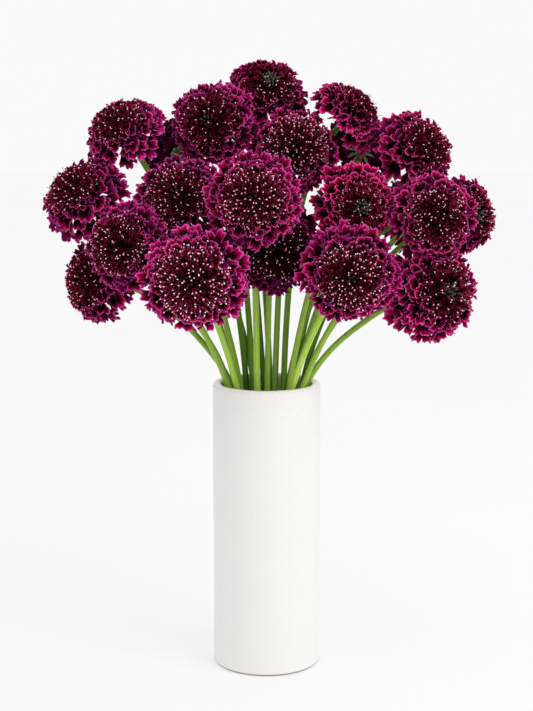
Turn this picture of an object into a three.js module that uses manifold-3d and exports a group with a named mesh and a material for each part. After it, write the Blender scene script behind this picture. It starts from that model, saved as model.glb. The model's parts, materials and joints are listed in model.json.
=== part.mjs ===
// Cut scabious flowers in a plain cylinder vase. Millimetres, +Z up, the origin at the middle of the vase's foot.
// Each bloom is one solid of petals and florets on a small core, and each stem is one solid with its ring of bracts.
import * as THREE from "three";
import { mergeVertices } from "three/addons/utils/BufferGeometryUtils.js";
import Module from "manifold-3d";

const wasm = await Module();
wasm.setup();

// Clear space between pieces that rest on or in each other
const gap = 0.3;

// Vase and water. The stems' holes run on past the water's underside by a part of their length.
const vaseRadius = 38;
const vaseHeight = 205;
const wall = 6;
const floor = 7;
const innerCorner = 5;
const footRound = 2.2;
const vaseSegments = 36;
const waterLevel = 135;
const holeRunOn = 0.05;

// Stems: straight up to a level above the water, then bent in a few pieces to the neck of the head.
// The gathers are how far in a stem stands at the floor and at that level, as parts of its place in the mouth.
// The mouth turn is how far round the mouth, in degrees, a stem leaves beside its head's own side.
const stemRadius = 2.3;
const stemSides = 5;
const straightTo = 142;
const bendPieces = 6;
const mouthSpread = 28.5;
const mouthSpacing = 9.6;
const mouthTurn = -12;
const footGather = 0.56;
const bendGather = 0.74;
const risePull = 0.42;
const neckPull = 0.22;
const neckStraight = 12;
const cupDepth = 3.5;
const bractReach = 6.4;

// Settling the stems: how far apart their middles stay, the room left round a head, and how pushes are shared
const stemSpacing = 5.4;
const headRoom = 1.5;
const headPush = 6;
const pushShare = 0.25;
const mouthPasses = 400;
const settlePasses = 260;

// Blooms, as parts of the head's radius unless they end in Mm. The middle, floretsFrom and coreTop are heights,
// coreTaper is how much narrower the core's foot is, and bloomReach is the room that a bloom may take up.
const headMiddle = 0.5;
const headDepth = 0.64;
const coreRadius = 0.66;
const coreTop = 0.98;
const coreTaper = 0.25;
const coreSides = 7;
const coreRings = 5;
const floretsFrom = 0.66;
const floretRise = 0.11;
const pinRise = 0.16;
const pinEvery = 7;
const pinMm = 0.7;
const bladeMm = 1.1;
const bloomReach = 1.3;
const petalLengths = [1, 0.9, 0.8, 0.7, 0.6];
const rollSeed = 7;

// Petal outlines, from the root round to it again: across from -1 to 1, along from the root at 0 to the tip at 1,
// and the wave up or down. The faces split both sides of the blade alike and stay inside its notches.
const wide = {
  points: [
    [0, 0, 0],
    [0.98, 0.86, 0.05],
    [0.45, 0.78, -0.05],
    [0, 1, 0.05],
    [-0.45, 0.78, -0.05],
    [-0.98, 0.86, 0.05],
  ],
  faces: [[5, 0, 1], [5, 1, 2], [5, 2, 4], [4, 2, 3]],
};
const small = {
  points: [
    [0, 0, 0],
    [0.8, 1, 0.04],
    [0, 0.76, -0.04],
    [-0.8, 1, 0.04],
  ],
  faces: [[0, 1, 2], [0, 2, 3]],
};

// Petal layers, from the lowest up: the outline, how many, the turn of the first one as a part of their spacing,
// where they leave the core, how long and how wide they are, and their rise in degrees at the root and the tip
const layers = [
  { outline: wide, count: 5, start: 0, root: 0.37, height: 0.18, length: 0.67, halfTurn: 33, rise: [2, -18] },
  { outline: wide, count: 4, start: 0.25, root: 0.48, height: 0.33, length: 0.5, halfTurn: 42, rise: [14, 1] },
  { outline: small, count: 4, start: 0.75, root: 0.51, height: 0.43, length: 0.4, halfTurn: 38, rise: [32, 40] },
];

// Where the middle of each head is, which way it faces (turn 0 to the front, 90 to the right, lift upwards), and
// its radius. The last six close the bouquet's back.
const heads = [
  { at: [2, 30, 413], turn: 16, lift: 46, radius: 30 },
  { at: [64, 20, 399], turn: 80, lift: 50, radius: 28.5 },
  { at: [-104, 10, 388], turn: -36, lift: 48, radius: 29 },
  { at: [-40, 2, 388], turn: -13, lift: 16, radius: 30 },
  { at: [21, -10, 372], turn: 8, lift: 26, radius: 30.5 },
  { at: [111, 0, 372], turn: 42, lift: 32, radius: 29.5 },
  { at: [-134, -6, 343], turn: -44, lift: 42, radius: 31 },
  { at: [-60, -32, 339.5], turn: -8, lift: 24, radius: 31 },
  { at: [-9, -76, 340], turn: -3, lift: 12, radius: 31.5 },
  { at: [63, -42, 332], turn: 16, lift: 2, radius: 27.5 },
  { at: [115, -46, 326], turn: 14, lift: 6, radius: 29.5 },
  { at: [144, 0, 323], turn: 38, lift: 12, radius: 27.5 },
  { at: [-99, -52, 307], turn: -22, lift: 12, radius: 29.5 },
  { at: [-126, -4, 278], turn: -46, lift: 10, radius: 30 },
  { at: [-48, -88, 287], turn: -2, lift: 4, radius: 35 },
  { at: [6, -46, 305], turn: 4, lift: 10, radius: 30.5 },
  { at: [55, -86, 290], turn: 2, lift: 3, radius: 32 },
  { at: [121, -42, 275], turn: 34, lift: 12, radius: 34 },
  { at: [72, 60, 372], turn: 160, lift: 36, radius: 27 },
  { at: [-75, 60, 372], turn: -125, lift: 36, radius: 26 },
  { at: [-11, 88, 325], turn: 180, lift: 20, radius: 28 },
  { at: [-52, 74, 286], turn: -150, lift: 12, radius: 28 },
  { at: [60, 76, 282], turn: 150, lift: 12, radius: 27 },
  { at: [112, 58, 320], turn: 118, lift: 20, radius: 26.5 },
];

const finishes = {
  vase: { color: 0xf2f0ec, roughness: 0.62, metalness: 0 },
  water: { color: 0xd7e4e6, roughness: 0.08, metalness: 0, transparent: true, opacity: 0.45 },
  stem: { color: 0x6f9440, roughness: 0.55, metalness: 0 },
  bloom: { color: 0x7a1648, roughness: 0.7, metalness: 0 },
};

const degrees = THREE.MathUtils.degToRad;
const up = new THREE.Vector3(0, 0, 1);

// Repeatable numbers from 0 to 1
function numbersFrom(seed) {
  let state = seed;
  return () => {
    state = (state * 1664525 + 1013904223) % 4294967296;
    return state / 4294967296;
  };
}

// A closed geometry as a solid, turned the right way out
function toSolid(geometry) {
  const bare = geometry.clone();
  bare.deleteAttribute("normal");
  bare.deleteAttribute("uv");
  const merged = mergeVertices(bare, 1e-4);
  const vertProperties = merged.attributes.position.array;
  const triVerts = new Uint32Array(merged.index.array);
  const made = new wasm.Manifold(new wasm.Mesh({ numProp: 3, vertProperties, triVerts }));
  if (made.volume() > 0) return made;
  for (let i = 0; i < triVerts.length; i += 3) {
    [triVerts[i + 1], triVerts[i + 2]] = [triVerts[i + 2], triVerts[i + 1]];
  }
  return new wasm.Manifold(new wasm.Mesh({ numProp: 3, vertProperties, triVerts }));
}

function toGeometry(solid) {
  const mesh = solid.getMesh();
  const geometry = new THREE.BufferGeometry();
  geometry.setAttribute("position", new THREE.BufferAttribute(mesh.vertProperties, 3));
  geometry.setIndex(new THREE.BufferAttribute(mesh.triVerts, 1));
  geometry.computeVertexNormals();
  return geometry;
}

function addMesh(group, name, geometry, finish) {
  const mesh = new THREE.Mesh(geometry, new THREE.MeshStandardMaterial(finish));
  mesh.name = name;
  group.add(mesh);
  return mesh;
}

// A solid turned round the upright axis from its profile of radius and height
function turnedSolid(profile) {
  const points = profile.map(([radius, height]) => new THREE.Vector2(radius, height));
  return toSolid(new THREE.LatheGeometry(points, vaseSegments).rotateX(Math.PI / 2));
}

// A quarter or half round of a profile, between two angles from outwards, in steps of 45 degrees
function roundCorner(middleRadius, middleHeight, round, from, to) {
  const points = [];
  for (let turn = from; turn <= to; turn += 45) {
    const a = degrees(turn);
    points.push([middleRadius + round * Math.cos(a), middleHeight + round * Math.sin(a)]);
  }
  return points;
}

// Vase: up the outside, over the round lip and down the inside to the floor
function vaseGeometry() {
  const inside = vaseRadius - wall;
  const lip = wall / 2;
  const profile = [
    [0, 0],
    ...roundCorner(vaseRadius - footRound, footRound, footRound, -90, 0),
    ...roundCorner(vaseRadius - lip, vaseHeight - lip, lip, 0, 180),
    [inside, floor + innerCorner],
    [inside - innerCorner, floor],
    [0, floor],
  ];
  return toGeometry(turnedSolid(profile));
}

// Water: fills the vase to its level, with a plain hole round each stem
function waterGeometry(routes) {
  const radius = vaseRadius - wall - gap;
  const bottom = floor + gap;
  const profile = [
    [0, bottom],
    [radius - innerCorner, bottom],
    [radius, bottom + innerCorner],
    [radius, waterLevel],
    [0, waterLevel],
  ];
  let water = turnedSolid(profile);
  for (const route of routes) {
    const [foot, bend] = route.points;
    const hole = new RoutePath([foot.clone().lerp(bend, -holeRunOn), bend]);
    water = water.subtract(toSolid(tubeGeometry(hole, stemRadius + gap)));
  }
  return toGeometry(water);
}

// A path of straight pieces, one for each step of the tube that follows it
class RoutePath extends THREE.Curve {
  constructor(points) {
    super();
    this.points = points;
  }
  getPoint(t, target = new THREE.Vector3()) {
    const along = t * (this.points.length - 1);
    const k = Math.min(Math.floor(along), this.points.length - 2);
    return target.copy(this.points[k]).lerp(this.points[k + 1], along - k);
  }
  getTangent(t, target = new THREE.Vector3()) {
    const k = Math.round(t * (this.points.length - 1));
    const before = this.points[Math.max(k - 1, 0)];
    const after = this.points[Math.min(k + 1, this.points.length - 1)];
    return target.copy(after).sub(before).normalize();
  }
  getTangentAt(u, target) {
    return this.getTangent(u, target);
  }
  getSpacedPoints() {
    return this.points;
  }
}

function tubeGeometry(path, radius) {
  const section = new THREE.Shape();
  for (let i = 0; i < stemSides; i++) {
    const a = (2 * Math.PI * i) / stemSides;
    const corner = [radius * Math.cos(a), radius * Math.sin(a)];
    if (i === 0) section.moveTo(...corner);
    else section.lineTo(...corner);
  }
  section.closePath();
  const steps = path.points.length - 1;
  return new THREE.ExtrudeGeometry(section, { extrudePath: path, steps, curveSegments: 1 });
}

// The direction that a head faces
function facing({ turn, lift }) {
  const level = Math.cos(degrees(lift));
  return new THREE.Vector3(
    level * Math.sin(degrees(turn)),
    -level * Math.cos(degrees(turn)),
    Math.sin(degrees(lift)),
  );
}

// The heads with their axes and the necks that their stems end at
function placeHeads() {
  return heads.map((head, index) => {
    const axis = facing(head);
    const middle = new THREE.Vector3(...head.at);
    const neck = middle.clone().addScaledVector(axis, -headMiddle * head.radius);
    return { ...head, index, axis, middle, neck };
  });
}

// Mouth: each stem leaves the vase near its own head's side, spread over the opening and kept apart
function mouthPoints(placed) {
  const reach = Math.max(...placed.map((head) => Math.hypot(head.neck.x, head.neck.y)));
  const points = placed.map((head) => {
    const out = Math.hypot(head.neck.x, head.neck.y);
    const spread = mouthSpread * Math.sqrt(out / reach);
    const point = new THREE.Vector2(head.neck.x, head.neck.y).setLength(Math.max(spread, 0.1));
    return point.rotateAround(new THREE.Vector2(), degrees(mouthTurn));
  });
  for (let pass = 0; pass < mouthPasses; pass++) {
    for (let i = 0; i < points.length; i++) {
      for (let j = i + 1; j < points.length; j++) {
        const between = points[i].clone().sub(points[j]);
        const lack = mouthSpacing - between.length();
        if (lack <= 0) continue;
        between.setLength(lack * pushShare);
        points[i].add(between);
        points[j].sub(between);
      }
      if (points[i].length() > mouthSpread) points[i].setLength(mouthSpread);
    }
  }
  return points;
}

// A stem's first route: straight through the water, then one bend out to the head and along its axis at the neck
function firstRoute(head, mouth) {
  const bottom = new THREE.Vector3(mouth.x * footGather, mouth.y * footGather, floor + gap);
  const bend = new THREE.Vector3(mouth.x * bendGather, mouth.y * bendGather, straightTo);
  const rise = bend.clone().sub(bottom).normalize();
  const end = head.neck.clone().addScaledVector(head.axis, -gap);
  const straight = end.clone().addScaledVector(head.axis, -neckStraight);
  const cup = end.clone().addScaledVector(head.axis, -cupDepth);
  const span = bend.distanceTo(straight);
  const curve = new THREE.CubicBezierCurve3(
    bend,
    bend.clone().addScaledVector(rise, span * risePull),
    straight.clone().addScaledVector(head.axis, -span * neckPull),
    straight,
  );
  const points = [bottom, ...curve.getPoints(bendPieces), cup, end];
  return { index: head.index, points, rest: points.map((point) => point.clone()) };
}

// The nearest points of two straight pieces, as the parts of their lengths
function nearest(a, b, c, d) {
  const u = b.clone().sub(a);
  const v = d.clone().sub(c);
  const w = a.clone().sub(c);
  const uu = u.dot(u);
  const uv = u.dot(v);
  const vv = v.dot(v);
  const uw = u.dot(w);
  const vw = v.dot(w);
  const det = uu * vv - uv * uv;
  let s = det > 1e-6 ? (uv * vw - vv * uw) / det : 0.5;
  s = THREE.MathUtils.clamp(s, 0, 1);
  const t = THREE.MathUtils.clamp((uv * s + vw) / vv, 0, 1);
  s = THREE.MathUtils.clamp((uv * t - uw) / uu, 0, 1);
  const off = a.clone().addScaledVector(u, s).sub(c.clone().addScaledVector(v, t));
  return { s, t, off };
}

// Moves the two ends of a piece so that the point at part s of it moves by a step. The neck stays.
// The foot moves with the first bend.
function shiftPiece(route, k, s, step) {
  if (k === 0) {
    route.points[1].addScaledVector(step, 1 / THREE.MathUtils.lerp(footGather / bendGather, 1, s));
    placeFoot(route);
    return;
  }
  if (k <= bendPieces) route.points[k].addScaledVector(step, 1 - s);
  if (k < bendPieces) route.points[k + 1].addScaledVector(step, s);
}

// Sets a stem's foot on the vase's floor, in line with where the stem leaves the water
function placeFoot(route) {
  const bend = route.points[1].setZ(straightTo);
  route.points[0].set(bend.x, bend.y, 0).multiplyScalar(footGather / bendGather).setZ(floor + gap);
}

// Moves two stems apart wherever they come too close
function partRoutes(one, other) {
  for (let i = 0; i < one.points.length - 1; i++) {
    for (let j = 0; j < other.points.length - 1; j++) {
      const [a, b] = [one.points[i], one.points[i + 1]];
      const [c, d] = [other.points[j], other.points[j + 1]];
      if (Math.max(a.z, b.z) + stemSpacing < Math.min(c.z, d.z)) continue;
      if (Math.max(c.z, d.z) + stemSpacing < Math.min(a.z, b.z)) continue;
      const { s, t, off } = nearest(a, b, c, d);
      const lack = stemSpacing - off.length();
      if (lack <= 0) continue;
      off.setLength(lack * 0.5);
      shiftPiece(one, i, s, off);
      shiftPiece(other, j, t, off.clone().negate());
    }
  }
}

// Pushes a stem out of the rounded space that another head takes up
function clearHead(route, head) {
  const wide = head.radius + stemRadius + headRoom;
  const deep = headDepth * head.radius + stemRadius + headRoom;
  for (let k = 1; k < route.points.length - 1; k++) {
    for (const s of [0, 0.25, 0.5, 0.75]) {
      const point = route.points[k].clone().lerp(route.points[k + 1], s).sub(head.middle);
      const along = point.dot(head.axis);
      const across = point.clone().addScaledVector(head.axis, -along);
      const depth = Math.hypot(across.length() / wide, along / deep);
      if (depth >= 1) continue;
      const out = across.divideScalar(wide * wide).addScaledVector(head.axis, along / (deep * deep));
      out.setLength((1 - depth) * headPush);
      shiftPiece(route, k, s, out);
    }
  }
}

// Keeps a stem inside the vase's mouth and wall
function keepInVase(route) {
  const inside = vaseRadius - wall - stemRadius - 3 * gap;
  for (let k = 1; k < route.points.length - 1; k++) {
    const point = route.points[k];
    const next = route.points[k + 1];
    if (point.z > vaseHeight) break;
    const out = Math.hypot(point.x, point.y);
    if (out > inside) point.multiply(new THREE.Vector3(inside / out, inside / out, 1));
    if (next.z < vaseHeight) continue;
    const rim = point.clone().lerp(next, (vaseHeight - point.z) / (next.z - point.z)).setZ(0);
    if (rim.length() > inside) shiftPiece(route, k, 0.5, rim.clone().setLength(inside - rim.length()));
  }
  placeFoot(route);
}

// Shares each push with the points beside it, so that a stem bends evenly
function sharePushes(route) {
  const pushes = route.points.map((point, k) => point.clone().sub(route.rest[k]));
  for (let k = 2; k <= bendPieces; k++) {
    const beside = pushes[k - 1].clone().add(pushes[k + 1]).multiplyScalar(0.5);
    route.points[k].copy(route.rest[k]).add(pushes[k].clone().lerp(beside, pushShare));
  }
}

// Settles all the stems between the heads and inside the vase
function settleRoutes(routes, placed) {
  for (let pass = 0; pass < settlePasses; pass++) {
    for (const route of routes) {
      for (const head of placed) {
        if (head.index !== route.index) clearHead(route, head);
      }
    }
    for (let i = 0; i < routes.length; i++) {
      for (let j = i + 1; j < routes.length; j++) partRoutes(routes[i], routes[j]);
    }
    for (const route of routes) {
      sharePushes(route);
      keepInVase(route);
    }
  }
}

// A stem: a tube on its route, its last ring spread into a cup of bracts under the head
function stemSolid(route) {
  const tube = tubeGeometry(new RoutePath(route.points), stemRadius);
  const end = route.points.at(-1);
  const corner = new THREE.Vector3();
  const position = tube.attributes.position;
  for (let i = 0; i < position.count; i++) {
    corner.fromBufferAttribute(position, i);
    if (corner.distanceTo(end) > stemRadius * 1.1) continue;
    corner.sub(end).multiplyScalar(bractReach / stemRadius).add(end);
    position.setXYZ(i, ...corner.toArray());
  }
  return toSolid(tube);
}

// The core of a head: a dome whose upper faces each rise to a point, as small inner florets do. Evenly picked
// points carry a pin, a thin three-sided rod.
function coreSolid(radius) {
  const dome = new THREE.SphereGeometry(1, coreSides, coreRings);
  dome.rotateX(Math.PI / 2);
  dome.deleteAttribute("normal");
  dome.deleteAttribute("uv");
  const merged = mergeVertices(dome, 1e-4);
  const position = merged.attributes.position;
  for (let i = 0; i < position.count; i++) {
    const z = position.getZ(i);
    const wide = coreRadius * radius * (z < 0 ? 1 + coreTaper * z : 1);
    position.setXYZ(i, position.getX(i) * wide, position.getY(i) * wide, ((z + 1) / 2) * coreTop * radius);
  }
  const points = Array.from(position.array);
  const faces = [];
  const centre = new THREE.Vector3(0, 0, headMiddle * radius);
  let florets = 0;
  for (let f = 0; f < merged.index.count; f += 3) {
    const corners = [0, 1, 2].map((k) => merged.index.getX(f + k));
    const [a, b, c] = corners.map((k) => new THREE.Vector3().fromArray(points, 3 * k));
    const middle = a.clone().add(b).add(c).divideScalar(3);
    if (middle.z < floretsFrom * radius) {
      faces.push(...corners);
      continue;
    }
    const out = middle.clone().sub(centre).normalize();
    const tip = middle.clone().addScaledVector(out, floretRise * radius);
    if (florets % pinEvery === 1) {
      const side = [a, b, c].map((corner) => corner.clone().sub(middle).setLength(pinMm));
      const foot = side.map((step) => addPoint(points, tip.clone().add(step)));
      const head = tip.clone().addScaledVector(out, pinRise * radius);
      const top = side.map((step) => addPoint(points, head.clone().add(step)));
      for (let k = 0; k < 3; k++) {
        const n = (k + 1) % 3;
        faces.push(corners[k], corners[n], foot[n], corners[k], foot[n], foot[k]);
        faces.push(foot[k], foot[n], top[n], foot[k], top[n], top[k]);
      }
      faces.push(...top);
    } else {
      const point = addPoint(points, tip);
      for (let k = 0; k < 3; k++) faces.push(corners[k], corners[(k + 1) % 3], point);
    }
    florets += 1;
  }
  const geometry = new THREE.BufferGeometry();
  geometry.setAttribute("position", new THREE.Float32BufferAttribute(points, 3));
  geometry.setIndex(faces);
  return toSolid(geometry);
}

function addPoint(points, point) {
  points.push(...point.toArray());
  return points.length / 3 - 1;
}

// One lobed petal as a thin closed blade. It fans out round the head's axis from a point sunk in the core.
// Grow makes it larger all round, to test how much room it has.
function bladeSolid(radius, layer, turn, length, grow) {
  const half = bladeMm / 2 + grow;
  const points = [];
  const addPair = ([across, along, wave]) => {
    const rise = degrees(THREE.MathUtils.lerp(...layer.rise, along));
    const run = layer.length * length * along + (grow / radius) * along;
    const out = (layer.root + run * Math.cos(rise)) * radius;
    const z = (layer.height + run * Math.sin(rise) + wave) * radius;
    const spread = degrees(layer.halfTurn) * across * (1 + (2 * grow) / radius);
    const level = new THREE.Vector3(Math.cos(turn + spread), Math.sin(turn + spread), 0);
    const normal = level.clone().multiplyScalar(-Math.sin(rise)).setZ(Math.cos(rise));
    const middle = level.multiplyScalar(out).setZ(z);
    points.push(middle.clone().addScaledVector(normal, half), middle.addScaledVector(normal, -half));
  };
  layer.outline.points.forEach(addPair);
  const count = layer.outline.points.length;
  const faces = [];
  for (let i = 0; i < count; i++) {
    const j = (i + 1) % count;
    faces.push(2 * i, 2 * i + 1, 2 * j + 1, 2 * i, 2 * j + 1, 2 * j);
  }
  for (const [a, b, c] of layer.outline.faces) {
    faces.push(2 * a, 2 * b, 2 * c, 2 * a + 1, 2 * c + 1, 2 * b + 1);
  }
  const geometry = new THREE.BufferGeometry().setFromPoints(points);
  geometry.setIndex(faces);
  return toSolid(geometry);
}

// The petals of one head. Each is shortened until it is clear of what is already there, or left out.
function clearPetals(head, matrix, obstacles) {
  const petals = [];
  const near = obstacles.filter((other) => boxesMeet(other.boundingBox(), head));
  for (const layer of layers) {
    for (let i = 0; i < layer.count; i++) {
      const azimuth = ((i + layer.start) / layer.count) * 2 * Math.PI;
      for (const length of petalLengths) {
        const probe = bladeSolid(head.radius, layer, azimuth, length, gap).transform(matrix.elements);
        if (near.some((other) => other.intersect(probe).volume() > 0)) continue;
        petals.push(bladeSolid(head.radius, layer, azimuth, length, 0));
        break;
      }
    }
  }
  return petals;
}

function boxesMeet(box, head) {
  const reach = bloomReach * head.radius;
  return head.middle.toArray().every((v, k) => v + reach > box.min[k] && v - reach < box.max[k]);
}

// A head's place: its neck, its facing, and a turn about its axis that differs from head to head
function headMatrix(head, random) {
  const turned = new THREE.Quaternion().setFromUnitVectors(up, head.axis);
  turned.multiply(new THREE.Quaternion().setFromAxisAngle(up, 2 * Math.PI * random()));
  return new THREE.Matrix4().compose(head.neck, turned, new THREE.Vector3(1, 1, 1));
}

function buildBouquet() {
  const group = new THREE.Group();
  const placed = placeHeads();
  const mouths = mouthPoints(placed);
  const routes = placed.map((head, i) => firstRoute(head, mouths[i]));
  settleRoutes(routes, placed);

  addMesh(group, "vase", vaseGeometry(), finishes.vase);
  addMesh(group, "water", waterGeometry(routes), finishes.water);

  const random = numbersFrom(rollSeed);
  const number = (head) => String(head.index + 1).padStart(2, "0");
  const stems = routes.map(stemSolid);
  const matrices = placed.map((head) => headMatrix(head, random));
  const cores = placed.map((head) => coreSolid(head.radius));
  const inPlace = cores.map((core, i) => core.transform(matrices[i].elements));

  placed.forEach((head, i) => {
    const others = inPlace.filter((solid, k) => k !== i);
    const petals = clearPetals(head, matrices[i], [...stems, ...others]);
    const bloom = wasm.Manifold.union([cores[i], ...petals]);
    inPlace[i] = bloom.transform(matrices[i].elements);
    const mesh = addMesh(group, "bloom_" + number(head), toGeometry(bloom), finishes.bloom);
    mesh.applyMatrix4(matrices[i]);
    addMesh(group, "stem_" + number(head), toGeometry(stems[i]), finishes.stem);
  });
  return group;
}

export default buildBouquet();
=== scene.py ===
import json
import math

import bmesh
import bpy
import numpy as np
from mathutils import Matrix, Vector

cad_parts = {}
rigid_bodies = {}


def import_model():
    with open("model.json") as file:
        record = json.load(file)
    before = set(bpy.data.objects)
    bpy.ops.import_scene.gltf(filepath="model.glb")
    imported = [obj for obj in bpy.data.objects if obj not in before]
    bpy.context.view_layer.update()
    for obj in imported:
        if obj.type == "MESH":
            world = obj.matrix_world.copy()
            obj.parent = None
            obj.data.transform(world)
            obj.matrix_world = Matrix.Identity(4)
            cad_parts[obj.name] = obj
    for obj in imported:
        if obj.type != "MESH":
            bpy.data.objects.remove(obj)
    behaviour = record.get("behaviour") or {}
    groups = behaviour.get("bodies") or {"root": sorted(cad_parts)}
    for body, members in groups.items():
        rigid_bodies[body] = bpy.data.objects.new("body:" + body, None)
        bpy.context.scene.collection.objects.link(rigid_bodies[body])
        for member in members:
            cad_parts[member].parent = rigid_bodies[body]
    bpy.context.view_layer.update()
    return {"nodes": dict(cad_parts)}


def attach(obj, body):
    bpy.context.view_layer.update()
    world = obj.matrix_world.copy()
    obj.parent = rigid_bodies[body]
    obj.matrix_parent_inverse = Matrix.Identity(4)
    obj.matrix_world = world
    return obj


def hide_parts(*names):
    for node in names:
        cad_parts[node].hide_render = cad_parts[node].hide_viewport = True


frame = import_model()
scene = bpy.context.scene
mm = 0.001
goldenTurn = math.pi * (3 - math.sqrt(5))


# Nodes written as sums

class Wire:  # an output socket of a node
    def __init__(self, graph, socket):
        self.graph = graph
        self.socket = socket

    def __add__(self, other):
        return self.graph.maths("ADD", self, other)

    def __sub__(self, other):
        return self.graph.maths("SUBTRACT", self, other)

    def __rsub__(self, other):
        return self.graph.maths("SUBTRACT", other, self)

    def __mul__(self, other):
        return self.graph.maths("MULTIPLY", self, other)

    def __truediv__(self, other):
        return self.graph.maths("DIVIDE", self, other)

    def __pow__(self, other):
        return self.graph.maths("POWER", self, other)

    def __lt__(self, other):
        return self.graph.node("FunctionNodeCompare", {0: self, 1: other}, operation="LESS_THAN")

    def __ge__(self, other):
        return self.graph.node("FunctionNodeCompare", {0: self, 1: other}, operation="GREATER_EQUAL")

    __radd__ = __add__
    __rmul__ = __mul__

    def out(self, name):
        return Wire(self.graph, self.socket.node.outputs[name])


class Graph:  # a node tree of either kind
    def __init__(self, tree):
        self.tree = tree

    def node(self, kind, values=None, output=0, **settings):
        made = self.tree.nodes.new(kind)
        for name, value in settings.items():
            setattr(made, name, value)
        for key, value in (values or {}).items():
            if isinstance(value, Wire):
                self.tree.links.new(value.socket, made.inputs[key])
            else:
                made.inputs[key].default_value = value
        return Wire(self, made.outputs[output]) if len(made.outputs) else made

    def maths(self, operation, first, second=0.0, third=0.0):
        return self.node("ShaderNodeMath", {0: first, 1: second, 2: third}, operation=operation)

    def smooth(self, value, low, high):
        values = {"Value": value, "From Min": low, "From Max": high}
        return self.node("ShaderNodeMapRange", values, interpolation_type="SMOOTHSTEP")

    def mix(self, share, first, second, blend="MIX"):
        values = {0: share, 6: first, 7: second}
        return self.node("ShaderNodeMix", values, output=2, data_type="RGBA", blend_type=blend)

    def attributes(self, *names):
        return [self.node("ShaderNodeAttribute", attribute_name=name).out("Fac") for name in names]

    def place(self):
        return self.node("ShaderNodeTexCoord").out("Object")

    def noise(self, vector, size, detail=3.0, rough=0.5):
        values = {"Vector": vector, "Scale": size, "Detail": detail, "Roughness": rough}
        return self.node("ShaderNodeTexNoise", values).out("Fac")

    def bump(self, strength, distance, height):
        return self.node("ShaderNodeBump", {"Strength": strength, "Distance": distance, "Height": height})

    def random(self, low, high, seed):
        return self.node("FunctionNodeRandomValue", {2: low, 3: high, 8: seed}, output=1)

    def spread(self, size, seed):
        return self.random(-size, size, seed)

    def vector(self, x, y, z):
        return self.node("ShaderNodeCombineXYZ", {0: x, 1: y, 2: z})

    def around(self, turn, out, height):  # a place on a ring about the Z axis
        return self.vector(self.maths("COSINE", turn) * out, self.maths("SINE", turn) * out, height)

    def turned(self, angles):
        return self.node("FunctionNodeEulerToRotation", {0: angles})

    def store(self, geometry, name, value):
        values = {"Geometry": geometry, "Name": name, "Value": value}
        return self.node("GeometryNodeStoreNamedAttribute", values)

    def shapes(self, collection):
        values = {"Collection": collection, "Separate Children": True, "Reset Children": True}
        return self.node("GeometryNodeCollectionInfo", values)


def tint(red, green, blue):  # a colour as seen on a screen, made linear
    linear = [((c / 255 + 0.055) / 1.055) ** 2.4 if c > 10 else c / 3294 for c in (red, green, blue)]
    return (*linear, 1)


def newFinish(name, slot, steady, varied):  # steady values of the shader, and a function for the varied ones
    material = bpy.data.materials.new(name)
    material.use_nodes = True
    material["slot"] = slot
    shader = material.node_tree.nodes["Principled BSDF"]
    for key, value in steady.items():
        shader.inputs[key].default_value = value
    for key, value in varied(Graph(material.node_tree)).items():
        material.node_tree.links.new(value.socket, shader.inputs[key])
    return material


# Camera

view = {"place": (0, -1.125, 0.418), "downward": 9.8, "lens": 81.97}

camera = bpy.data.objects.new("camera", bpy.data.cameras.new("camera"))
scene.collection.objects.link(camera)
camera.location = view["place"]
camera.rotation_euler = (math.radians(90 - view["downward"]), 0, 0)
camera.data.lens = view["lens"]
camera.data.clip_end = 20
scene.camera = camera
print("camera placed")


# Meshes and trees

def newMesh(name, points, faces, **layers):
    mesh = bpy.data.meshes.new(name)
    mesh.from_pydata([tuple(map(float, p)) for p in points], [], faces)
    for layer, numbers in layers.items():
        mesh.attributes.new(layer, "FLOAT", "POINT").data.foreach_set("value", list(map(float, numbers)))
    mesh.shade_smooth()
    return mesh


def newPiece(name, mesh, node):
    mesh.name = name
    piece = bpy.data.objects.new(name, mesh)
    scene.collection.objects.link(piece)
    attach(piece, "root")
    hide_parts(node)
    return piece


def newSet(name, shapeMesh, shape):  # a set of unlike shapes of one kind, that a tree picks from
    collection = bpy.data.collections.new(name)
    for k in range(shape["kinds"]):
        mesh = shapeMesh(f"{name}{k}", np.random.default_rng(shape["seed"] + k), shape)
        collection.objects.link(bpy.data.objects.new(f"{name}{k}", mesh))
    return collection


def newTree(name, **inputs):
    tree = bpy.data.node_groups.new(name, "GeometryNodeTree")
    tree.interface.new_socket("Geometry", in_out="OUTPUT", socket_type="NodeSocketGeometry")
    tree.interface.new_socket("Geometry", in_out="INPUT", socket_type="NodeSocketGeometry")
    for key, kind in inputs.items():
        tree.interface.new_socket(key, in_out="INPUT", socket_type="NodeSocket" + kind)
    graph = Graph(tree)
    return graph, graph.node("NodeGroupInput")


def endTree(graph, branches):
    joined = graph.node("GeometryNodeJoinGeometry")
    for branch in branches:
        graph.tree.links.new(branch.socket, joined.socket.node.inputs[0])
    graph.node("NodeGroupOutput", {0: joined})
    return graph.tree


def finishBranch(graph, instances, material):
    real = graph.node("GeometryNodeRealizeInstances", {"Geometry": instances})
    smooth = graph.node("GeometryNodeSetShadeSmooth", {"Geometry": real})
    return graph.node("GeometryNodeSetMaterial", {"Geometry": smooth, "Material": material})


def runTree(tree, base, **values):  # one plain mesh from a tree
    host = bpy.data.objects.new("host", base)
    scene.collection.objects.link(host)
    modifier = host.modifiers.new("build", "NODES")
    modifier.node_group = tree
    for item in tree.interface.items_tree:
        if item.in_out == "INPUT" and item.name in values:
            modifier[item.identifier] = values[item.name]
    evaluated = host.evaluated_get(bpy.context.evaluated_depsgraph_get())
    mesh = bpy.data.meshes.new_from_object(evaluated)
    host.modifiers.remove(modifier)
    bpy.data.objects.remove(host)
    return mesh


# Finishes

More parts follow.
